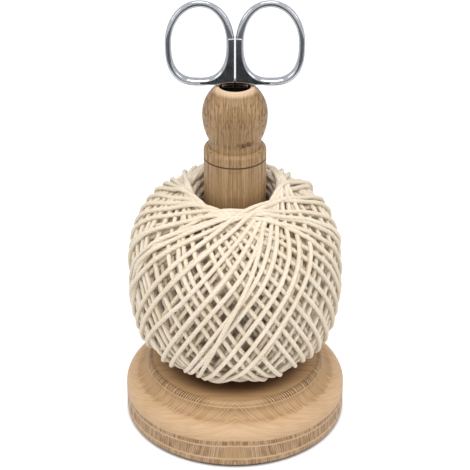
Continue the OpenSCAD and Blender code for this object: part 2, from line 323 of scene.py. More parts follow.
def post_profile():
    low_end = math.acos(NECK_R / FINIAL_R)
    lip_out = SOCKET_R + 2 * LIP_R
    up_end = math.acos(lip_out / FINIAL_R)
    low_half = (WIDEST_Z - NECK_TOP) / math.sin(low_end)
    up_half = (LIP_Z - WIDEST_Z) / math.sin(up_end)
    return ([(SCREW_HOLE_R, POST_FOOT), (TENON_R - TENON_CHAMFER, POST_FOOT),
             (TENON_R, POST_FOOT + TENON_CHAMFER),
             (TENON_R, BASE_TOP), (POST_R, BASE_TOP),
             (POST_R, LINE_Z - LINE_W / 2), (POST_R - LINE_DEPTH, LINE_Z), (POST_R, LINE_Z + LINE_W / 2)]
            + arc((NECK_R, SHOULDER_Z), POST_R - NECK_R, 0, 90)
            + oval_arc(WIDEST_Z, FINIAL_R, low_half, -low_end / DEG, 0, FINIAL_STEPS)
            + oval_arc(WIDEST_Z, FINIAL_R, up_half, 0, up_end / DEG, FINIAL_STEPS)
            + arc((SOCKET_R + LIP_R, LIP_Z), LIP_R, 0, 180)
            + [(SOCKET_R, SOCKET_FLOOR), (0, SOCKET_FLOOR), (0, PILOT_TOP), (SCREW_HOLE_R, PILOT_TOP)])


# Oak. Both pieces are laid out alike on the left and the right, as matched halves of one board.
# Places and heights in the wood are in millimetres.

GRAIN_TURN = 48 * DEG
RAY_SPACING = 1.06
WALL_RAY_SPACING = 0.74
LOW_LINE = (4.8, 5.4)
HIGH_LINE = (12.0, 12.5)
LINE_EDGE = 0.4
FOOT_ROW = 0.85
FULL_ROW = 0.95
CLEAR_ROW = 0.05
BEAD_ROW = 0.03
ROWS_END = (15.0, 15.3)
LANE_SHIFTS = ((4.9, 0.0), (5.3, 0.4), (12.1, 0.4), (12.4, 1.0))
LEAN_Z = 20.5
WIDER_RAYS_Z = (14.5, 15.5)
FULL_RAYS_Z = (14.0, 15.0)
PLAIN_Z = (15.2, 15.5)
STEP_VESSELS = ((0.0, 0.55), (25.7, 0.55), (25.9, 0.3), (26.3, 0.3), (26.45, 1.0))
STEP_DEPTHS = ((0.0, 0.9), (25.7, 0.8), (25.9, 0.4), (26.3, 0.4), (26.5, 1.0), (28.4, 0.8))
STEP_LINE_Z = (26.3, 25.9)
STEP_SHADE_Z = (26.2, 26.6)
MIDDLE_X = (8.0, 20.0)
PATCH_X = (10.2, 9.0)
PATCH_ROWS = ((5.1, 0.0), (5.5, 0.75), (11.7, 0.75), (12.0, 0.0))
COMB_R = (46.7, 46.1)
PLATFORM_R = (39.9, 39.1)
BALL_SHADE_R = (39.5, 27.5)
BALL_SHADE_Z = (28.0, 28.5)
WOOD_TOP = 30.0
POST_SPAN = (100, 170)
POST_ROWS = ((100, 0.3), (128, 0.35), (136, 0.6), (143, 0.5), (149, 0.5), (153, 1.0), (162, 1.0), (165, 0.4))
LINE_FADE = (0.55, 0.2)
LIP_HIGHLIGHT_Z = (164.6, 166.6)
SOCKET_SHADE_R = (7.3, 6.9)
SOCKET_SHADE_Z = (166.8, 165.8)
BURN_AT = (4.4, -10.8, 144.0)
BURN_SIZE = (5.4, 4.0, 2.0)
KNOTS = ((10.9, -8.5, 138.6), (12.7, -6.5, 156.0), (12.4, -6.6, 151.0))
KNOT_SIZE = (0.8, 2.0, 0.8)
PORE_BUMP = 0.25
PORE_DEPTH = 0.12 * MM
OAK_LIGHT = tone(209, 177, 140)
OAK_MID = tone(198, 162, 123)
OAK_TAN = tone(198, 161, 116)
OAK_RED = tone(190, 147, 110)
OAK_PATCH = tone(180, 147, 105)
OAK_LINE = tone(128, 86, 46)
OAK_BALL_SHADE = tone(82, 48, 19)
OAK_DARK = tone(122, 91, 60)
OAK_BURN_AND_SHADE = tone(84, 56, 36)
POST_LIGHT = tone(175, 143, 102)
POST_SHADE = tone(132, 101, 67)
POST_VESSEL = tone(96, 68, 38)
LIP_HIGHLIGHT = tone(240, 208, 174)
SOCKET_SHADE = tone(58, 38, 26)


def by_height(t, level, bands):
    """A share that runs through bands, which pair a height with a share."""
    return t.ramp(t.math("DIVIDE", level, WOOD_TOP), [(at / WOOD_TOP, share) for at, share in bands])


def clear_line(line, before, after):
    """Bands of a growth line without vessels, between rows that have these shares of them."""
    low, high = line
    return [(low - LINE_EDGE, before), (low, CLEAR_ROW), (high, CLEAR_ROW), (high + LINE_EDGE, after)]


def base_grain(t):
    """Where a point of the base lies in its board: along and across the vessels, and among the layers."""
    g = SimpleNamespace()
    x, g.y, g.z = t.place(MM)
    g.side = t.math("ABSOLUTE", x)
    g.reach = t.radius(x, g.y)
    g.along = t.minus(t.times(g.side, math.sin(GRAIN_TURN)), t.times(g.y, math.cos(GRAIN_TURN)))
    across = t.plus(t.times(g.side, math.cos(GRAIN_TURN)), t.times(g.y, math.sin(GRAIN_TURN)))
    g.sway = t.minus(t.noise(t.vector(g.side, g.y, g.z), 0.04, 1), 0.5)
    lean = t.plus(t.times(g.z, 0.12), t.times(t.most(t.minus(g.z, LEAN_Z), 0.0), 0.3))
    lane = t.plus(across, t.plus(t.times(g.sway, 2.5), lean))
    tongue = t.minus(t.noise(t.vector(t.times(g.along, 0.03), lane, 0.0), 1.1, 2), 0.5)
    g.layer = t.plus(g.z, t.times(tongue, 0.8))
    # The growth lines of the wall come down towards the sides
    g.low = t.times(g.layer, t.plus(t.times(g.side, 0.005), 1.0))
    # Above the bead, the wood is cut across its rays, and ends on the bead in a comb
    g.above = t.span(t.plus(g.reach, t.times(tongue, 11.0)), *COMB_R)
    g.platform = t.span(g.reach, *PLATFORM_R)
    g.combed = t.minus(g.above, g.platform)
    # Each layer of the wall has vessels of its own
    row = by_height(t, g.low, LANE_SHIFTS)
    g.lane = t.plus(lane, t.times(row, 3.7))
    return g


def base_rays(t, g):
    """The base's vessels, and the pale rays between them, which stand closer together on the wall."""
    def lines(height, scale, detail):
        return t.noise(t.vector(t.times(g.along, 0.02), g.lane, t.times(g.z, height)), scale, detail, 0.6)

    vessel = lines(0.07, 1.5, 2)
    drift = t.times(lines(0.05, 0.35, 1), 3.0)
    spacing = t.span(g.z, *WIDER_RAYS_Z, WALL_RAY_SPACING, RAY_SPACING)
    comb = t.math("SINE", t.times(t.plus(t.math("DIVIDE", g.lane, spacing), drift), 2 * math.pi))
    thin = t.span(g.z, *FULL_RAYS_Z, 0.35, 0.0)
    ray = t.times(t.span(t.minus(comb, thin), 0.0, 0.8), t.span(vessel, 0.7, 0.45))
    return vessel, ray


def base_vessels(t, g, vessel, ray, clump):
    """The share of dark vessels: growth lines are clear, and the wood between them is full of vessels."""
    rows = ([(0.0, FOOT_ROW)] + clear_line(LOW_LINE, FOOT_ROW, FULL_ROW)
            + clear_line(HIGH_LINE, FULL_ROW, FULL_ROW)
            + [(ROWS_END[0], FULL_ROW), (ROWS_END[1], BEAD_ROW)])
    wall = by_height(t, g.low, rows)
    step = by_height(t, g.layer, STEP_VESSELS)
    step = t.times(step, t.minus(g.above, t.times(g.platform, 0.95)))
    middle = t.most(t.span(g.side, *MIDDLE_X, 0.3, 1.0), t.span(g.z, *STEP_LINE_Z))
    share = t.times(t.times(t.most(wall, step), middle), t.span(clump, 0.3, 0.6, 0.7, 1.0))
    dark = t.times(share, t.span(vessel, 0.36, 0.6, 0.5, 1.0))
    return t.times(dark, t.minus(1.0, t.times(ray, 0.95)))


def base_ground(t, g, growth, clump):
    """The wood between the vessels."""
    plain = t.minus(t.span(g.low, *PLAIN_Z, 0.25, 1.0), t.times(g.combed, 0.9))
    ground = t.mix(t.times(t.span(growth, 0.35, 0.7), plain), OAK_LIGHT, OAK_MID)
    ground = t.mix(t.span(clump, 0.4, 0.75, 0.0, 0.25), ground, OAK_RED)
    return t.mix(t.times(by_height(t, g.layer, STEP_DEPTHS), g.above), ground, OAK_TAN)


def base_marks(t, g, colour):
    """Adds the plain patch at the middle of the front, the platform's growth lines, and painted shade on the
    platform under the ball.
    """
    patch = t.span(t.plus(g.side, t.times(g.layer, 0.5)), *PATCH_X)
    patch = t.times(patch, by_height(t, g.low, PATCH_ROWS))
    colour = t.mix(patch, colour, OAK_PATCH)
    board = t.vector(t.times(g.side, 0.06), t.plus(g.y, t.times(g.sway, 6.0)), 0.0)
    lines = t.span(t.noise(board, 0.75, 3, 0.6), 0.42, 0.66, 0.0, 0.32)
    colour = t.mix(t.times(lines, g.platform), colour, OAK_LINE)
    # Painted shade: the platform darkens towards the ball, standing in for the ball's shadow.
    ball_shade = t.times(t.span(g.reach, *BALL_SHADE_R), t.span(g.z, *BALL_SHADE_Z, 0.0, 0.92))
    return t.mix(ball_shade, colour, OAK_BALL_SHADE)


def oak_base():
    t = Nodes("oak_base")
    g = base_grain(t)
    vessel, ray = base_rays(t, g)
    # Growth lines lie flat in the board and rise towards the middle of the front
    rise = t.plus(t.times(g.side, 0.16), t.times(g.y, 0.25))
    ring = t.plus(t.plus(g.z, t.times(g.sway, 3.0)), rise)
    growth = t.noise(t.vector(t.times(g.side, 0.06), t.times(g.y, 0.06), ring), 1.4, 3, 0.6)
    clump = t.noise(t.vector(g.along, g.lane, g.z), 0.13, 2)
    dark = base_vessels(t, g, vessel, ray, clump)
    colour = t.mix(t.times(dark, 0.95), base_ground(t, g, growth, clump), OAK_DARK)
    # Painted shade: the vessels of the riser and the platform are darkened towards the burn tone.
    colour = t.mix(t.times(dark, t.span(g.z, *STEP_SHADE_Z, 0.0, 0.4)), colour, OAK_BURN_AND_SHADE)
    colour = t.mix(t.times(t.times(ray, g.combed), 0.32), colour, OAK_LIGHT)
    colour = base_marks(t, g, colour)
    relief = t.minus(t.times(growth, 0.4), dark)
    return t.surface(Base_Color=colour, Roughness=t.span(vessel, 0.2, 0.8, 0.45, 0.62),
                     Normal=t.bump(relief, PORE_BUMP, PORE_DEPTH), Specular_IOR_Level=0.35)


def spot(t, place, centre, size):
    """A share that is full at a point and fades out this far from it."""
    gaps = [t.math("DIVIDE", t.minus(p, c), w) for p, c, w in zip(place, centre, size)]
    squares = [t.times(gap, gap) for gap in gaps]
    return t.span(t.plus(t.plus(squares[0], squares[1]), squares[2]), 1.0, 0.2)


def post_marks(t, place, streak, colour):
    """Adds the post's painted highlight on the lip, its incised line, burn and knots, and painted shade
    inside the socket.
    """
    x, y, z = place
    # Painted highlight: the top of the lip is paled.
    colour = t.mix(t.span(z, *LIP_HIGHLIGHT_Z, 0.0, 0.75), colour, LIP_HIGHLIGHT)
    line = t.math("ABSOLUTE", t.minus(z, LINE_Z / MM))
    colour = t.mix(t.span(line, *LINE_FADE, 0.0, 0.85), colour, OAK_BURN_AND_SHADE)
    smudge = t.times(t.minus(t.noise(t.vector(x, y, z), 0.45, 3), 0.5), 6.0)
    burn = spot(t, (x, y, t.plus(z, smudge)), BURN_AT, BURN_SIZE)
    colour = t.mix(t.times(burn, t.span(streak, 0.62, 0.4, 0.2, 0.95)), colour, OAK_BURN_AND_SHADE)
    side = t.math("ABSOLUTE", x)
    for centre in KNOTS:
        colour = t.mix(t.times(spot(t, (side, y, z), centre, KNOT_SIZE), 0.7), colour, OAK_BURN_AND_SHADE)
    # Painted shade: the socket's inside wall is darkened below its lip.
    socket_shade = t.times(t.span(t.radius(x, y), *SOCKET_SHADE_R), t.span(z, *SOCKET_SHADE_Z))
    return t.mix(socket_shade, colour, SOCKET_SHADE)


def oak_post():
    t = Nodes("oak_post")
    x, y, z = t.place(MM)
    side = t.math("ABSOLUTE", x)
    sway = t.minus(t.noise(t.vector(side, y, t.times(z, 0.4)), 0.08, 1), 0.5)
    lane = t.plus(side, t.times(sway, 1.6))

    def lines(depth, length, scale, detail):
        return t.noise(t.vector(lane, t.times(y, depth), t.times(z, length)), scale, detail, 0.6)

    streak = lines(0.12, 0.015, 1.3, 4)
    vessel = lines(0.15, 0.13, 2.2, 2)
    low, high = POST_SPAN
    stops = [((at - low) / (high - low), share) for at, share in POST_ROWS]
    dark = t.times(t.span(vessel, 0.5, 0.64), t.ramp(t.span(z, low, high, smooth=False), stops))
    ground = t.mix(t.span(streak, 0.3, 0.7), POST_LIGHT, POST_SHADE)
    colour = post_marks(t, (x, y, z), streak, t.mix(t.times(dark, 0.75), ground, POST_VESSEL))
    relief = t.minus(t.times(streak, 0.5), dark)
    return t.surface(Base_Color=colour, Roughness=t.span(vessel, 0.2, 0.8, 0.4, 0.58),
                     Normal=t.bump(relief, PORE_BUMP, PORE_DEPTH), Specular_IOR_Level=0.4)


def make_stand():
    turned("stand_base", base_profile(), "stand", oak_base(), ["base"])
    turned("stand_post", post_profile(), "stand", oak_post(), ["post"])


# Ball of string: each loop is laid taut over what lies there, one turn after another

CORE_R = 39.6 * MM
CORE_HALF = 30.0 * MM
CORE_FULL = 4.2
HOLE_R = 16.9 * MM
LAYERS = 7
LOOPS_A_LAYER = 20.38
LOOP_TURN = math.pi / LOOPS_A_LAYER
SPARED = (-190 * DEG, -125 * DEG)
SPARED_LOOPS = (SPARED[1] - SPARED[0]) / LOOP_TURN
FRONT_END = -60 * DEG
FRONT_LOOPS = (FRONT_END - SPARED[1]) / LOOP_TURN
MAIN_LOOPS = (LAYERS - 1) * LOOPS_A_LAYER
LOOPS = int(MAIN_LOOPS + 1 + FRONT_LOOPS + 2 + SPARED_LOOPS)
TURN_R = (17.6 * MM, 26 * MM)
TURN_CROWD = 6.0
SLOPE = (63 * DEG, 57 * DEG)
TURN_Z = (31.5 * MM, 42 * MM)
PRESSED_R = 0.85 * MM
RIM_PRESS = 0.36
EASE = (38 * DEG, 58 * DEG)
CELL = 0.5 * DEG
PRESS_CELL = 10 * DEG
RIM_LATITUDE = 62 * DEG
LAST_ROW = 1.001
STEP = 1 * DEG
LOOP_STEPS = 360
AHEAD_STEPS = 60
KEPT_STEPS = 45
SLIP = 0.3
SEED = 7
TOP_RISE = 1.4 * MM
TOP_LEAN = 6.5 * MM
FOOT_EASE = 0.5 * MM
TAUT_PASSES = 4
TAUT_SPANS = (40, 30, 24, 16, 12, 8, 6, 4, 3, 2, 1)
SMOOTHING = (0.1, 0.2, 0.4, 0.2, 0.1)
NEAR_ROWS = 3
NEAR_COLUMNS = 7


def barrel_reach(latitude, radius, half, full):
    """Distance of a barrel's surface from its middle, in directions this far above the level."""
    flat = (np.cos(latitude) / radius) ** full
    high = (np.abs(np.sin(latitude)) / half) ** full
    return (flat + high) ** (-1 / full)


def core_reach(latitude):
    return barrel_reach(latitude, CORE_R, CORE_HALF, CORE_FULL)


def outline_reach(latitude):
    return barrel_reach(latitude, BALL_R, BALL_HALF, BALL_FULL)


class Relief:
    """How far the ball reaches in each direction while string is laid on it."""

    def __init__(self):
        self.rows = round(math.pi / CELL)
        self.columns = round(2 * math.pi / CELL)
        latitude = (np.arange(self.rows) + 0.5) * CELL - math.pi / 2
        self.reach = np.repeat(core_reach(latitude)[:, None], self.columns, axis=1)
        up, side = np.meshgrid(np.arange(-NEAR_ROWS, NEAR_ROWS + 1),
                               np.arange(-NEAR_COLUMNS, NEAR_COLUMNS + 1), indexing="ij")
        self.near = up.ravel(), side.ravel()

    def cells(self, way):
        """The cells under a string that goes in these directions, and how high it stands over them."""
        latitude = np.arcsin(way[:, 2])
        longitude = np.arctan2(way[:, 1], way[:, 0])
        row = np.floor((latitude + math.pi / 2) / CELL).astype(int)
        column = np.floor(longitude / CELL).astype(int)
        rows = np.clip(row[:, None] + self.near[0], 0, self.rows - 1)
        columns = column[:, None] + self.near[1]
        up = (rows + 0.5) * CELL - math.pi / 2 - latitude[:, None]
        side = ((columns + 0.5) * CELL - longitude[:, None]) * np.cos(latitude)[:, None]
        far = (up ** 2 + side ** 2) * self.reach[row, column % self.columns][:, None] ** 2
        ease = np.clip((np.abs(latitude) - EASE[0]) / (EASE[1] - EASE[0]), 0, 1)
        flat = 1 - ease * ease * (3 - 2 * ease) * (1 - RIM_PRESS)
        cap = flat[:, None] * np.sqrt(np.maximum(PRESSED_R ** 2 - far, 0))
        return rows, columns % self.columns, cap, far < PRESSED_R ** 2

    def support(self, way):
        rows, columns, cap, under = self.cells(way)
        return np.where(under, self.reach[rows, columns] + cap, 0).max(axis=1)

    def lay(self, way, reach):
        rows, columns, cap, under = self.cells(way)
        np.maximum.at(self.reach, (rows[under], columns[under]), (reach[:, None] + cap)[under])

    def pressing(self, way):
        """The factor by which the ball is pressed to its outline in each of these directions."""
        fine = round(PRESS_CELL / CELL)
        rows, columns = self.rows // fine, self.columns // fine
        top = self.reach.reshape(rows, fine, columns, fine).max(axis=(1, 3))
        latitude = (np.arange(rows) + 0.5) * PRESS_CELL - math.pi / 2
        factor = outline_reach(latitude)[:, None] / top
        rim = np.abs(latitude) > RIM_LATITUDE
        last = np.flatnonzero(~rim)[[0, -1]]
        factor[:last[0]] = factor[last[0]]
        factor[last[1] + 1:] = factor[last[1]]
        factor = (factor + np.roll(factor, 1, 1) + np.roll(factor, -1, 1)) / 3
        row = np.clip((np.arcsin(way[:, 2]) + math.pi / 2) / PRESS_CELL - 0.5, 0, rows - LAST_ROW)
        column = np.arctan2(way[:, 1], way[:, 0]) / PRESS_CELL - 0.5
        r, c = np.floor(row).astype(int), np.floor(column).astype(int)
        u, v = row - r, column - c
        low = factor[r, c % columns] * (1 - v) + factor[r, (c + 1) % columns] * v
        high = factor[r + 1, c % columns] * (1 - v) + factor[r + 1, (c + 1) % columns] * v
        return low * (1 - u) + high * u


def pull_taut(reach, kept):
    """Lifts the string to the straight lines between its high places. The first stretch stays."""
    first = reach[:kept].copy()
    for _ in range(TAUT_PASSES):
        for span in TAUT_SPANS:
            a, b = reach[:-2 * span], reach[2 * span:]
            straight = 2 * a * b * math.cos(span * STEP) / (a + b)
            reach[span:-span] = np.maximum(reach[span:-span], straight)
            reach[:kept] = first
    return reach


def crossing(place):
    """Where a loop climbs past the ball's middle. A stretch is spared at first, and gets the last loops."""
    stops = np.cumsum([0, MAIN_LOOPS, 1, FRONT_LOOPS, 2, SPARED_LOOPS + 1])
    return np.interp(place, stops, (SPARED[0] - MAIN_LOOPS * LOOP_TURN, SPARED[0], SPARED[1], FRONT_END,
                                    SPARED[0], SPARED[1] + LOOP_TURN))


def loop_way(turn, tilt, slope, angle):
    """Directions along a loop that climbs at this slope and turns back this far up."""
    high = np.sin(tilt) * np.sin(angle)
    sweep = np.cos(tilt) + (np.sin(tilt) / np.tan(slope) - np.cos(tilt)) * np.abs(np.cos(angle))
    longitude = turn + np.arctan2(sweep * np.sin(angle), np.cos(angle))
    flat = np.sqrt(1 - high ** 2)
    return np.stack([flat * np.cos(longitude), flat * np.sin(longitude), high], 1)


def string_path():
    """Points along the whole string about the ball's middle, with the direction out of the ball."""
    draw = np.random.default_rng(SEED)
    knots = np.arange(LOOPS + 3)
    turn_r = TURN_R[0] + (TURN_R[1] - TURN_R[0]) * draw.random(len(knots)) ** TURN_CROWD
    turn_z = np.interp(knots / LOOPS, (0, 1), TURN_Z)
    tilts = np.arctan2(turn_z, turn_r)
    slips = draw.normal(0, SLIP, len(knots))
    relief = Relief()
    ways, reaches = np.zeros((0, 3)), np.zeros(0)
    for loop in range(LOOPS):
        step = np.arange(LOOP_STEPS + AHEAD_STEPS)
        angle = step * STEP - math.pi / 2
        place = loop + step / LOOP_STEPS
        turn = crossing(place) + LOOP_TURN * np.interp(place, knots, slips)
        way = loop_way(turn, np.interp(place, knots, tilts), np.interp(place, (0, LOOPS), SLOPE), angle)
        kept = min(len(reaches), KEPT_STEPS)
        reach = np.concatenate([reaches[len(reaches) - kept:], relief.support(way)])
        reach = pull_taut(reach, kept)[kept:kept + LOOP_STEPS]
        way = way[:LOOP_STEPS]
        relief.lay(way, reach)
        ways = np.concatenate([ways, way])
        reaches = np.concatenate([reaches, reach])
    smooth = np.convolve(np.pad(reaches, len(SMOOTHING) // 2, "edge"), SMOOTHING, "valid")
    return settle(ways * (smooth * relief.pressing(ways))[:, None]), ways


def settle(points):
    """Lifts the ball's top, more at its back, as if wound askew, and rests its foot on the platform."""
    high = np.clip(points[:, 2] / BALL_HALF, 0, 1)
    points[:, 2] += (TOP_RISE + TOP_LEAN * points[:, 1] / BALL_R) * high * high * (3 - 2 * high)
    rest = BASE_TOP + STRING_R - BALL_MID
    gap = points[:, 2] - rest
    points[:, 2] = rest + (gap + np.sqrt(gap ** 2 + 4 * FOOT_EASE ** 2)) / 2
    return points


def even_points(points, outs, spacing):
    """The same line with its points this far apart."""
    runs = np.linalg.norm(np.diff(points, axis=0), axis=1)
    length = np.concatenate([[0], np.cumsum(runs)])
    at = np.linspace(0, length[-1], max(2, round(length[-1] / spacing)))
    line = np.stack([np.interp(at, length, points[:, k]) for k in range(3)], 1)
    out = np.stack([np.interp(at, length, outs[:, k]) for k in range(3)], 1)
    return line, out, at


PLIES = 3
LAY_LENGTH = 9 * MM
PLY_RELIEF = 0.045
SEEN_SIDES = 12
SEEN_SPACING = 0.8 * MM
HIDDEN_SIDES = 6
HIDDEN_SPACING = 1.8 * MM
HEART_LATITUDE = 60
HEART_STEPS = 60
FIBRE_BUMP = 0.35
FIBRE_DEPTH = 0.12 * MM
COTTON_PALE = tone(240, 229, 211)
COTTON_CREAM = tone(233, 219, 197)
COTTON_GROOVE_SHADE = tone(214, 192, 158)
COTTON_FIBRE = tone(222, 204, 174)


def string_skin(line, out, at, sides):
    """Points of a round string of three plies, in rings along its middle line."""
    ahead = np.gradient(line, axis=0)
    ahead /= np.linalg.norm(ahead, axis=1)[:, None]
    up = out - (out * ahead).sum(1)[:, None] * ahead
    up /= np.linalg.norm(up, axis=1)[:, None]
    across = np.cross(ahead, up)
    angle = math.pi + 2 * math.pi * np.arange(sides) / sides
    twist = angle[None, :] - 2 * math.pi * at[:, None] / LAY_LENGTH
    radius = STRING_R * (1 + PLY_RELIEF * np.cos(PLIES * twist))
    ring = np.cos(angle)[None, :, None] * up[:, None] + np.sin(angle)[None, :, None] * across[:, None]
    return (line[:, None] + radius[:, :, None] * ring).reshape(-1, 3) + (0, 0, BALL_MID)


def string_piece(name, points, outs, sides, spacing, material, replaces=()):
    """A string along these points, with a map of its twist."""
    line, out, at = even_points(points, outs, spacing)
    rows = len(line)
    i, j = np.meshgrid(np.arange(rows - 1), np.arange(sides), indexing="ij")
    n = (j + 1) % sides
    quads = np.stack([i * sides + j, i * sides + n, (i + 1) * sides + n, (i + 1) * sides + j], -1)
    quads = quads.reshape(-1, 4)
    caps = [list(range(sides))[::-1], list(range((rows - 1) * sides, rows * sides))]
    verts = string_skin(line, out, at, sides).tolist()
    piece = add_piece(name, verts, quads.tolist() + caps, "string_ball", material, replaces)
    along = np.stack([at[i], at[i], at[i + 1], at[i + 1]], -1) / LAY_LENGTH
    round_it = np.stack([j, j + 1, j + 1, j], -1) / sides
    corners = np.zeros((len(piece.data.loops), 2))
    corners[:quads.size] = np.stack([along, round_it], -1).reshape(-1, 2)
    layer = piece.data.uv_layers.new(name="Twist")
    layer.data.foreach_set("uv", corners.astype(np.float32).ravel())
    piece.data.polygons.foreach_set("use_smooth", np.ones(len(piece.data.polygons), bool))


def cotton():
    t = Nodes("cotton_string")
    node = t.add("ShaderNodeUVMap", uv_map="Twist")
    split = t.add("ShaderNodeSeparateXYZ")
    t.put(split.inputs[0], node.outputs[0])
    along, round_it = split.outputs[0], split.outputs[1]
    wave = t.math("SINE", t.times(t.minus(round_it, along), 2 * math.pi * PLIES))
    x, y, z = t.place(MM)
    fibre = t.noise(t.vector(x, y, z), 3.0, 4, 0.65)
    cloud = t.noise(t.vector(x, y, z), 0.08, 3)
    colour = t.mix(t.span(cloud, 0.35, 0.7), COTTON_PALE, COTTON_CREAM)
    # Painted shade: the grooves between the plies are darkened.
    colour = t.mix(t.span(wave, -0.2, -1.0, 0.0, 0.3), colour, COTTON_GROOVE_SHADE)
    colour = t.mix(t.span(fibre, 0.5, 0.8, 0.0, 0.35), colour, COTTON_FIBRE)
    relief = t.plus(t.times(wave, 0.5), fibre)
    return t.surface(Base_Color=colour, Roughness=0.9, Normal=t.bump(relief, FIBRE_BUMP, FIBRE_DEPTH),
                     Sheen_Weight=0.25, Sheen_Roughness=0.5, Specular_IOR_Level=0.2)


def make_ball():
    material = cotton()
    points, outs = string_path()
    layer = round(LOOPS_A_LAYER * LOOP_STEPS)
    inner_end = len(points) - 2 * layer
    string_piece("string_outer", points[-layer - 1:], outs[-layer - 1:],
                 SEEN_SIDES, SEEN_SPACING, material, ["string_winding"])
    string_piece("string_middle", points[inner_end:-layer], outs[inner_end:-layer],
                 SEEN_SIDES, SEEN_SPACING, material)
    string_piece("string_inner", points[:inner_end + 1], outs[:inner_end + 1],
                 HIDDEN_SIDES, HIDDEN_SPACING, material)
    latitude = np.linspace(-HEART_LATITUDE, HEART_LATITUDE, HEART_STEPS + 1) * DEG
    reach = core_reach(latitude) - STRING_R
    outline = [(r * math.cos(a), BALL_MID + r * math.sin(a)) for r, a in zip(reach, latitude)]
    outline = [(HOLE_R, outline[0][1])] + outline + [(HOLE_R, outline[-1][1])]
    turned("string_heart", outline, "string_ball", material, ["string_core"])


# Scissors: both halves are one shape, turned half round. Sizes are about the pivot.

PIVOT_Z = 157.2 * MM
BOW_W = 29.8 * MM
BOW_H = 38.2 * MM
BOW_BAND = {"in": 3.4 * MM, "out": 2.7 * MM, "top": 2.7 * MM, "foot": 3.2 * MM}
BOW_T = {"in": 4.0 * MM, "out": 4.2 * MM, "top": 2.1 * MM, "foot": 4.4 * MM}
BOW_GAP = 0.56 * MM
BOW_FOOT = 10.1 * MM
BOW_FULL = {(1, 1): 2.1, (1, -1): 2.5, (-1, 1): 2.0, (-1, -1): 2.75}
BAND_FULL = {"in": 3.4, "out": 3.4, "top": 3.4, "foot": 2.2}
WEB_T = 4.5 * MM
WEB_SHARE = 0.78
TANG_T = 3.7 * MM
WEB_LOW = 10.8 * MM
ARCH_RISE = 1.0 * MM
STRAIGHT_RISE = 2.9 * MM
HALF_SHANK = 5.3 * MM
TANG_HALF = 5.6 * MM
TANG_FOOT = 4.8 * MM
HEEL_END = 40
BLADE_T = 1.7 * MM
BLADE_L = 62 * MM
BLADE_LAP = 1.2 * MM
BLADE_GAP = 0.08 * MM
TIP_W = 1.2 * MM
BACK_CURVE = 1.8
BACK_TOP = 0.04
BACK_STEPS = 24
WEB_LAP = 1 * MM
ARCH_STEPS = 12
RIM_STEPS = 42
RIM_SPAN = (268, 369)
BOW_STEPS = 144
BOW_SIDES = 28
SOFT_PASSES = 4
SOFT_FACTOR = 0.5
STEEL_VOXEL = 0.18 * MM
SHANK_SHADE_LOW = (140, 146)
SHANK_SHADE_HIGH = (167.6, 166.6)
STEEL_BUMP = 0.05
STEEL_SMEAR = 0.02 * MM
STEEL_PALE = tone(186, 189, 194)
STEEL_GREY = tone(168, 171, 177)
STEEL_TINT = (0.6, 0.61, 0.63, 1)
SHANK_SHADE = tone(48, 46, 49)


def plate(shape, outline, front, back):
    """Adds a flat piece with this outline, seen from the front, to a mesh."""
    ends = []
    for depth in (front, back):
        ends.append([shape.verts.new((x, depth, z)) for x, z in outline])
    shape.faces.new(ends[0])
    shape.faces.new(ends[1][::-1])
    for i in range(len(outline)):
        shape.faces.new((ends[0][i - 1], ends[1][i - 1], ends[1][i], ends[0][i]))


def full_cos(angle, full):
    """The cosine of a fuller oval: 2 is a plain oval, and more is nearer to a box."""
    c = math.cos(angle)
    return math.copysign(abs(c) ** (2 / full), c)


def bow_point(angle, inset=0.0):
    x = -(BOW_GAP + BOW_W) / 2
    z = BOW_FOOT + BOW_H / 2
    full = BOW_FULL[1 if math.cos(angle) > 0 else -1, 1 if math.sin(angle) > 0 else -1]
    return (x + (BOW_W / 2 - inset) * full_cos(angle, full),
            z + (BOW_H / 2 - inset) * full_cos(angle - math.pi / 2, full))


def bow_size(angle, sizes):
    """A size of the bow's band, which is thin at the top and thick at the foot and the inner side."""
    c, s = math.cos(angle), math.sin(angle)
    return sizes["in" if c > 0 else "out"] * c * c + sizes["top" if s > 0 else "foot"] * s * s


def add_bow(shape, steps=BOW_STEPS, sides=BOW_SIDES):
    """The rounded band of one finger bow."""
    angles = [2 * math.pi * i / steps for i in range(steps)]
    bands = [bow_size(angle, BOW_BAND) for angle in angles]
    depths = [bow_size(angle, BOW_T) for angle in angles]
    middle = [bow_point(angle, band / 2) for angle, band in zip(angles, bands)]
    rings = []
    for i, (x, z) in enumerate(middle):
        after, before = middle[(i + 1) % steps], middle[i - 1]
        run = math.dist(after, before)
        out = ((after[1] - before[1]) / run, -(after[0] - before[0]) / run)
        ring = []
        full = bow_size(angles[i], BAND_FULL)
        for j in range(sides):
            a = 2 * math.pi * j / sides
            reach = bands[i] / 2 * full_cos(a, full)
            depth = depths[i] / 2 * full_cos(a - math.pi / 2, full)
            ring.append(shape.verts.new((x + out[0] * reach, depth, z + out[1] * reach)))
        rings.append(ring)
    for i in range(steps):
        for j in range(sides):
            n, m = (i + 1) % steps, (j + 1) % sides
            shape.faces.new((rings[i][j], rings[i][m], rings[n][m], rings[n][j]))


def web_outline():
    inner = -BOW_GAP / 2
    lip_out = SOCKET_R + 2 * LIP_R
    bow_x = -(BOW_GAP + BOW_W) / 2
    top = BOW_FOOT + BOW_H / 2 + STRAIGHT_RISE
    under = [(inner - (lip_out + inner) * s, WEB_LOW + ARCH_RISE * (1 - s * s))
             for s in np.linspace(0, 1, ARCH_STEPS)]
    rim = [bow_point(a, bow_size(a, BOW_BAND) * WEB_SHARE) for a in np.linspace(*RIM_SPAN, RIM_STEPS) * DEG]
    return [(inner, top)] + under + [(bow_x, BOW_FOOT + BOW_BAND["foot"] / 4)] + rim


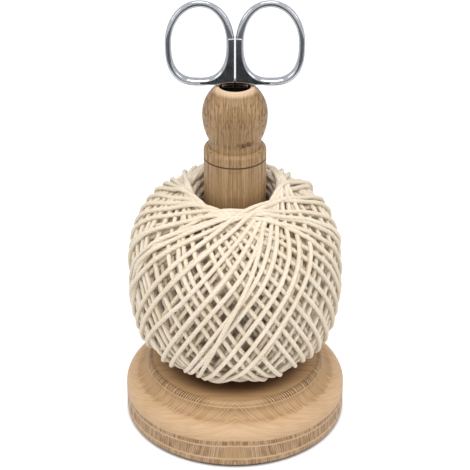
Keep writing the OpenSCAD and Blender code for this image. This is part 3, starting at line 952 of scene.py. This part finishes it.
def blade_outline():
    inner = -BOW_GAP / 2
    top = WEB_LOW + ARCH_RISE + WEB_LAP
    tip = TIP_W / 2
    heel = 180 + math.acos(BLADE_LAP / HALF_SHANK) / DEG
    back = [(tip + (HALF_SHANK - tip) * (1 - s ** BACK_CURVE), -BLADE_L * s)
            for s in np.linspace(1, BACK_TOP, BACK_STEPS)]
    heel_top = HALF_SHANK * math.sin(HEEL_END * DEG)
    return ([(-HALF_SHANK, top)] + arc((0, 0), HALF_SHANK, 180, heel) + [(-tip, -BLADE_L)]
            + back + arc((0, 0), HALF_SHANK, 0, HEEL_END) + [(inner, heel_top), (inner, top)])


def tang_outline():
    """The stretch of the web that stands in the socket."""
    inner = -BOW_GAP / 2
    top = WEB_LOW + ARCH_RISE + WEB_LAP
    return [(inner, top), (inner, TANG_FOOT), (-TANG_HALF, TANG_FOOT), (-TANG_HALF, top)]


def half_plates():
    shape = bmesh.new()
    plate(shape, web_outline(), -WEB_T / 2, WEB_T / 2)
    plate(shape, tang_outline(), -TANG_T / 2, TANG_T / 2)
    plate(shape, blade_outline(), -BLADE_T - BLADE_GAP, -BLADE_GAP)
    bmesh.ops.recalc_face_normals(shape, faces=shape.faces)
    mesh = bpy.data.meshes.new("scissors_half")
    shape.to_mesh(mesh)
    shape.free()
    return mesh


def forge(piece):
    """Joins the lapping shapes of a piece into one skin with softly worked edges."""
    remesh = piece.modifiers.new("skin", "REMESH")
    remesh.mode = "VOXEL"
    remesh.voxel_size = STEEL_VOXEL
    smooth = piece.modifiers.new("soft", "SMOOTH")
    smooth.factor = SOFT_FACTOR
    smooth.iterations = SOFT_PASSES
    made = piece.evaluated_get(bpy.context.evaluated_depsgraph_get())
    shape = bmesh.new()
    shape.from_mesh(made.data)
    piece.modifiers.clear()
    return shape


def steel():
    t = Nodes("polished_steel")
    x, y, z = t.place(MM)
    smear = t.noise(t.vector(x, y, z), 0.35, 4, 0.6)
    scratch = t.noise(t.vector(t.times(x, 6.0), y, t.times(z, 0.4)), 2.0, 3)
    colour = t.mix(t.span(smear, 0.3, 0.75), STEEL_PALE, STEEL_GREY)
    rough = t.plus(t.span(smear, 0.3, 0.8, 0.08, 0.13), t.times(scratch, 0.04))
    # Painted shade: the steel round the pivot, where it stands in the socket, is darkened, and it is also
    # made rougher
    shank_shade = t.times(t.span(z, *SHANK_SHADE_LOW), t.span(z, *SHANK_SHADE_HIGH))
    colour = t.mix(shank_shade, colour, SHANK_SHADE)
    rough = t.plus(rough, t.times(shank_shade, 0.3))
    return t.surface(Base_Color=colour, Metallic=1.0, Roughness=rough, Specular_Tint=STEEL_TINT,
                     Normal=t.bump(smear, STEEL_BUMP, STEEL_SMEAR))


def make_scissors():
    material = steel()
    for name, turn in (("left", 0.0), ("right", math.pi)):
        piece = bpy.data.objects.new("scissors_" + name, half_plates())
        bpy.context.scene.collection.objects.link(piece)
        shape = forge(piece)
        add_bow(shape)
        for face in shape.faces:
            face.smooth = True
        bmesh.ops.recalc_face_normals(shape, faces=shape.faces)
        bmesh.ops.rotate(shape, verts=shape.verts, matrix=Matrix.Rotation(turn, 3, "Z"))
        bmesh.ops.translate(shape, verts=shape.verts, vec=(0, 0, PIVOT_Z))
        shape.to_mesh(piece.data)
        shape.free()
        dress(piece, "scissors_" + name, material, [f"scissors_{name}_half"])


# Felt under the base and the two screws

FELT_EDGE = 0.25 * MM
FELT_EDGE_STEPS = 4
FELT_BUMP = 0.6
FELT_NAP = 0.3 * MM
FELT_DARK = tone(52, 42, 34)
FELT_BROWN = tone(92, 78, 64)
LATHE_BUMP = 0.1
LATHE_DEPTH = 0.05 * MM
SCREW_PALE = tone(186, 182, 172)
SCREW_GREY = tone(150, 146, 138)


def felt_material():
    t = Nodes("felt")
    x, y, z = t.place(MM)
    wool = t.noise(t.vector(x, y, z), 1.6, 5, 0.7, 0.6)
    colour = t.mix(t.span(wool, 0.3, 0.75), FELT_DARK, FELT_BROWN)
    return t.surface(Base_Color=colour, Roughness=1.0, Normal=t.bump(wool, FELT_BUMP, FELT_NAP),
                     Sheen_Weight=0.4, Specular_IOR_Level=0.1)


def make_felt():
    inner = FELT_R - FELT_EDGE
    profile = ([(0, 0), (inner, 0)] + arc((inner, FELT_EDGE), FELT_EDGE, -90, 0, FELT_EDGE_STEPS)
               + arc((inner, FELT_T - FELT_EDGE), FELT_EDGE, 0, 90, FELT_EDGE_STEPS) + [(0, FELT_T)])
    pad = turned("felt_disc", profile, "stand", felt_material(), ["felt_pad"])


def screw_steel():
    t = Nodes("screw_steel")
    x, y, z = t.place(MM)
    lathe = t.noise(t.vector(x, t.times(y, 8.0), z), 1.2, 4, 0.6)
    colour = t.mix(t.span(lathe, 0.3, 0.7), SCREW_PALE, SCREW_GREY)
    return t.surface(Base_Color=colour, Metallic=1.0, Roughness=t.span(lathe, 0.2, 0.8, 0.24, 0.42),
                     Normal=t.bump(lathe, LATHE_BUMP, LATHE_DEPTH))


def dress_screws():
    material = screw_steel()
    for name in ("post_screw", "scissors_pivot_screw"):
        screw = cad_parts[name]
        screw.data.materials.clear()
        screw.data.materials.append(material)


# Studio: white floor and surroundings, soft lamps, and a dark card that only polished steel shows

FLOOR_SIZE = 6.0
FLOOR_LIFT = 0.62
FAR_LIFT = 0.7
FAR = (0.8, 2.0)
SHADOW_EDGE = 1.5 * MM
WHITE = (1, 1, 1, 1)
PAPER = (0.85, 0.85, 0.85, 1)
PAPER_SHOWN = (0.61, 0.61, 0.61, 1)
PAPER_FIBRE = (0.6, 0.6, 0.6, 1)
FILL = 0.55
CARD_INNER = 0.34
CARD_OUTER = 0.9
CARD_SIDE = 60 * DEG
CARD_FADE = (0.43, 0.57)
CARD_STRIPE = (0.03, 0.07)
CARD_RISE = 0.002
CARD_STEPS = 48
CARD_BLACK = (0.004, 0.004, 0.005, 1)
CARD_GREY = (0.22, 0.22, 0.225, 1)
CARD_FIBRE = (0.06, 0.06, 0.06, 1)
KEY_PLACE = (0.0, -0.5, 1.2)
KEY_SIZE = 0.8
KEY_WATTS = 8.4
SIDE_PLACE = (1.0, -0.5, 0.75)
SIDE_SIZE = 0.6
SIDE_WATTS = 2.8


def stage_piece(name, verts, faces, material):
    mesh = bpy.data.meshes.new(name)
    mesh.from_pydata(verts, [], faces)
    mesh.materials.append(material)
    piece = bpy.data.objects.new(name, mesh)
    bpy.context.scene.collection.objects.link(piece)
    return piece


def floor_material():
    """Matt paper. What the camera and polished metal see of it is lifted to white, apart from shadow."""
    t = Nodes("floor_white")
    x, y, z = t.place(1.0)
    paper = t.noise(t.vector(x, y, z), 60.0, 2)
    path = t.add("ShaderNodeLightPath")
    seen = t.most(path.outputs["Is Camera Ray"], path.outputs["Is Glossy Ray"])
    seen = t.most(seen, path.outputs["Is Transmission Ray"])
    shown = t.mix(t.span(paper, 0.3, 0.7), PAPER_SHOWN, PAPER_FIBRE)
    reach = t.radius(x, y)
    # Painted shadow: the lift fades out at the base's foot, leaving a dark contact line round it; far off
    # the lift rises to keep the floor evenly white.
    lift = t.times(t.span(reach, FELT_R, BASE_R + SHADOW_EDGE), t.span(reach, *FAR, FLOOR_LIFT, FAR_LIFT))
    return t.surface(Base_Color=t.mix(seen, PAPER, shown), Roughness=0.9, Specular_IOR_Level=0.0,
                     Emission_Color=WHITE, Emission_Strength=t.times(seen, lift))


def card_material():
    t = Nodes("dark_card")
    x, y, z = t.place(1.0)
    grain = t.noise(t.vector(x, y, z), 40.0, 2)
    pale = t.most(t.span(t.radius(x, y), *CARD_FADE), t.span(t.math("ABSOLUTE", x), *CARD_STRIPE))
    colour = t.mix(pale, CARD_BLACK, CARD_GREY)
    colour = t.mix(t.span(grain, 0.3, 0.7, 0.0, 0.1), colour, CARD_FIBRE)
    return t.surface(Base_Color=colour, Roughness=0.9, Specular_IOR_Level=0.1)


def make_floor():
    h = FLOOR_SIZE / 2
    stage_piece("floor", [(-h, -h, 0), (h, -h, 0), (h, h, 0), (-h, h, 0)], [(0, 1, 2, 3)], floor_material())


def make_card():
    verts = []
    for radius in (CARD_INNER, CARD_OUTER):
        for a in np.linspace(-CARD_SIDE, CARD_SIDE, CARD_STEPS + 1):
            verts.append((radius * math.sin(a), -radius * math.cos(a), CARD_RISE))
    faces = [(i, i + 1, CARD_STEPS + 2 + i, CARD_STEPS + 1 + i) for i in range(CARD_STEPS)]
    card = stage_piece("card_front", verts, faces, card_material())
    card.visible_camera = False
    card.visible_diffuse = False
    card.visible_shadow = False


def make_world():
    """White to the camera and to polished metal, and an even fill light to everything else."""
    world = bpy.data.worlds.new("studio")
    bpy.context.scene.world = world
    world.use_nodes = True
    nodes, links = world.node_tree.nodes, world.node_tree.links
    nodes.clear()
    path = nodes.new("ShaderNodeLightPath")
    seen = path.outputs["Is Camera Ray"]
    for kind in ("Is Glossy Ray", "Is Transmission Ray"):
        either = nodes.new("ShaderNodeMath")
        either.operation = "MAXIMUM"
        links.new(seen, either.inputs[0])
        links.new(path.outputs[kind], either.inputs[1])
        seen = either.outputs[0]
    mix = nodes.new("ShaderNodeMixShader")
    links.new(seen, mix.inputs[0])
    for socket, strength in ((mix.inputs[1], FILL), (mix.inputs[2], 1.0)):
        light = nodes.new("ShaderNodeBackground")
        light.inputs["Color"].default_value = WHITE
        light.inputs["Strength"].default_value = strength
        links.new(light.outputs[0], socket)
    out = nodes.new("ShaderNodeOutputWorld")
    links.new(mix.outputs[0], out.inputs[0])


def add_lamp(name, place, size, watts):
    """A square soft lamp that looks at the ball's middle."""
    data = bpy.data.lights.new(name, "AREA")
    data.size = size
    data.energy = watts
    lamp = bpy.data.objects.new(name, data)
    lamp.location = place
    aim = (-place[0], -place[1], BALL_MID - place[2])
    flat = math.hypot(aim[0], aim[1])
    lamp.rotation_euler = (math.atan2(flat, -aim[2]), 0, math.atan2(aim[1], aim[0]) - math.pi / 2)
    bpy.context.scene.collection.objects.link(lamp)


def make_lamps():
    x, y, z = SIDE_PLACE
    add_lamp("key", KEY_PLACE, KEY_SIZE, KEY_WATTS)
    add_lamp("left", (-x, y, z), SIDE_SIZE, SIDE_WATTS)
    add_lamp("right", (x, y, z), SIDE_SIZE, SIDE_WATTS)


make_stand()
make_ball()
make_scissors()
make_felt()
dress_screws()
make_floor()
make_card()
make_world()
make_lamps()
bpy.context.scene.view_settings.view_transform = "Standard"
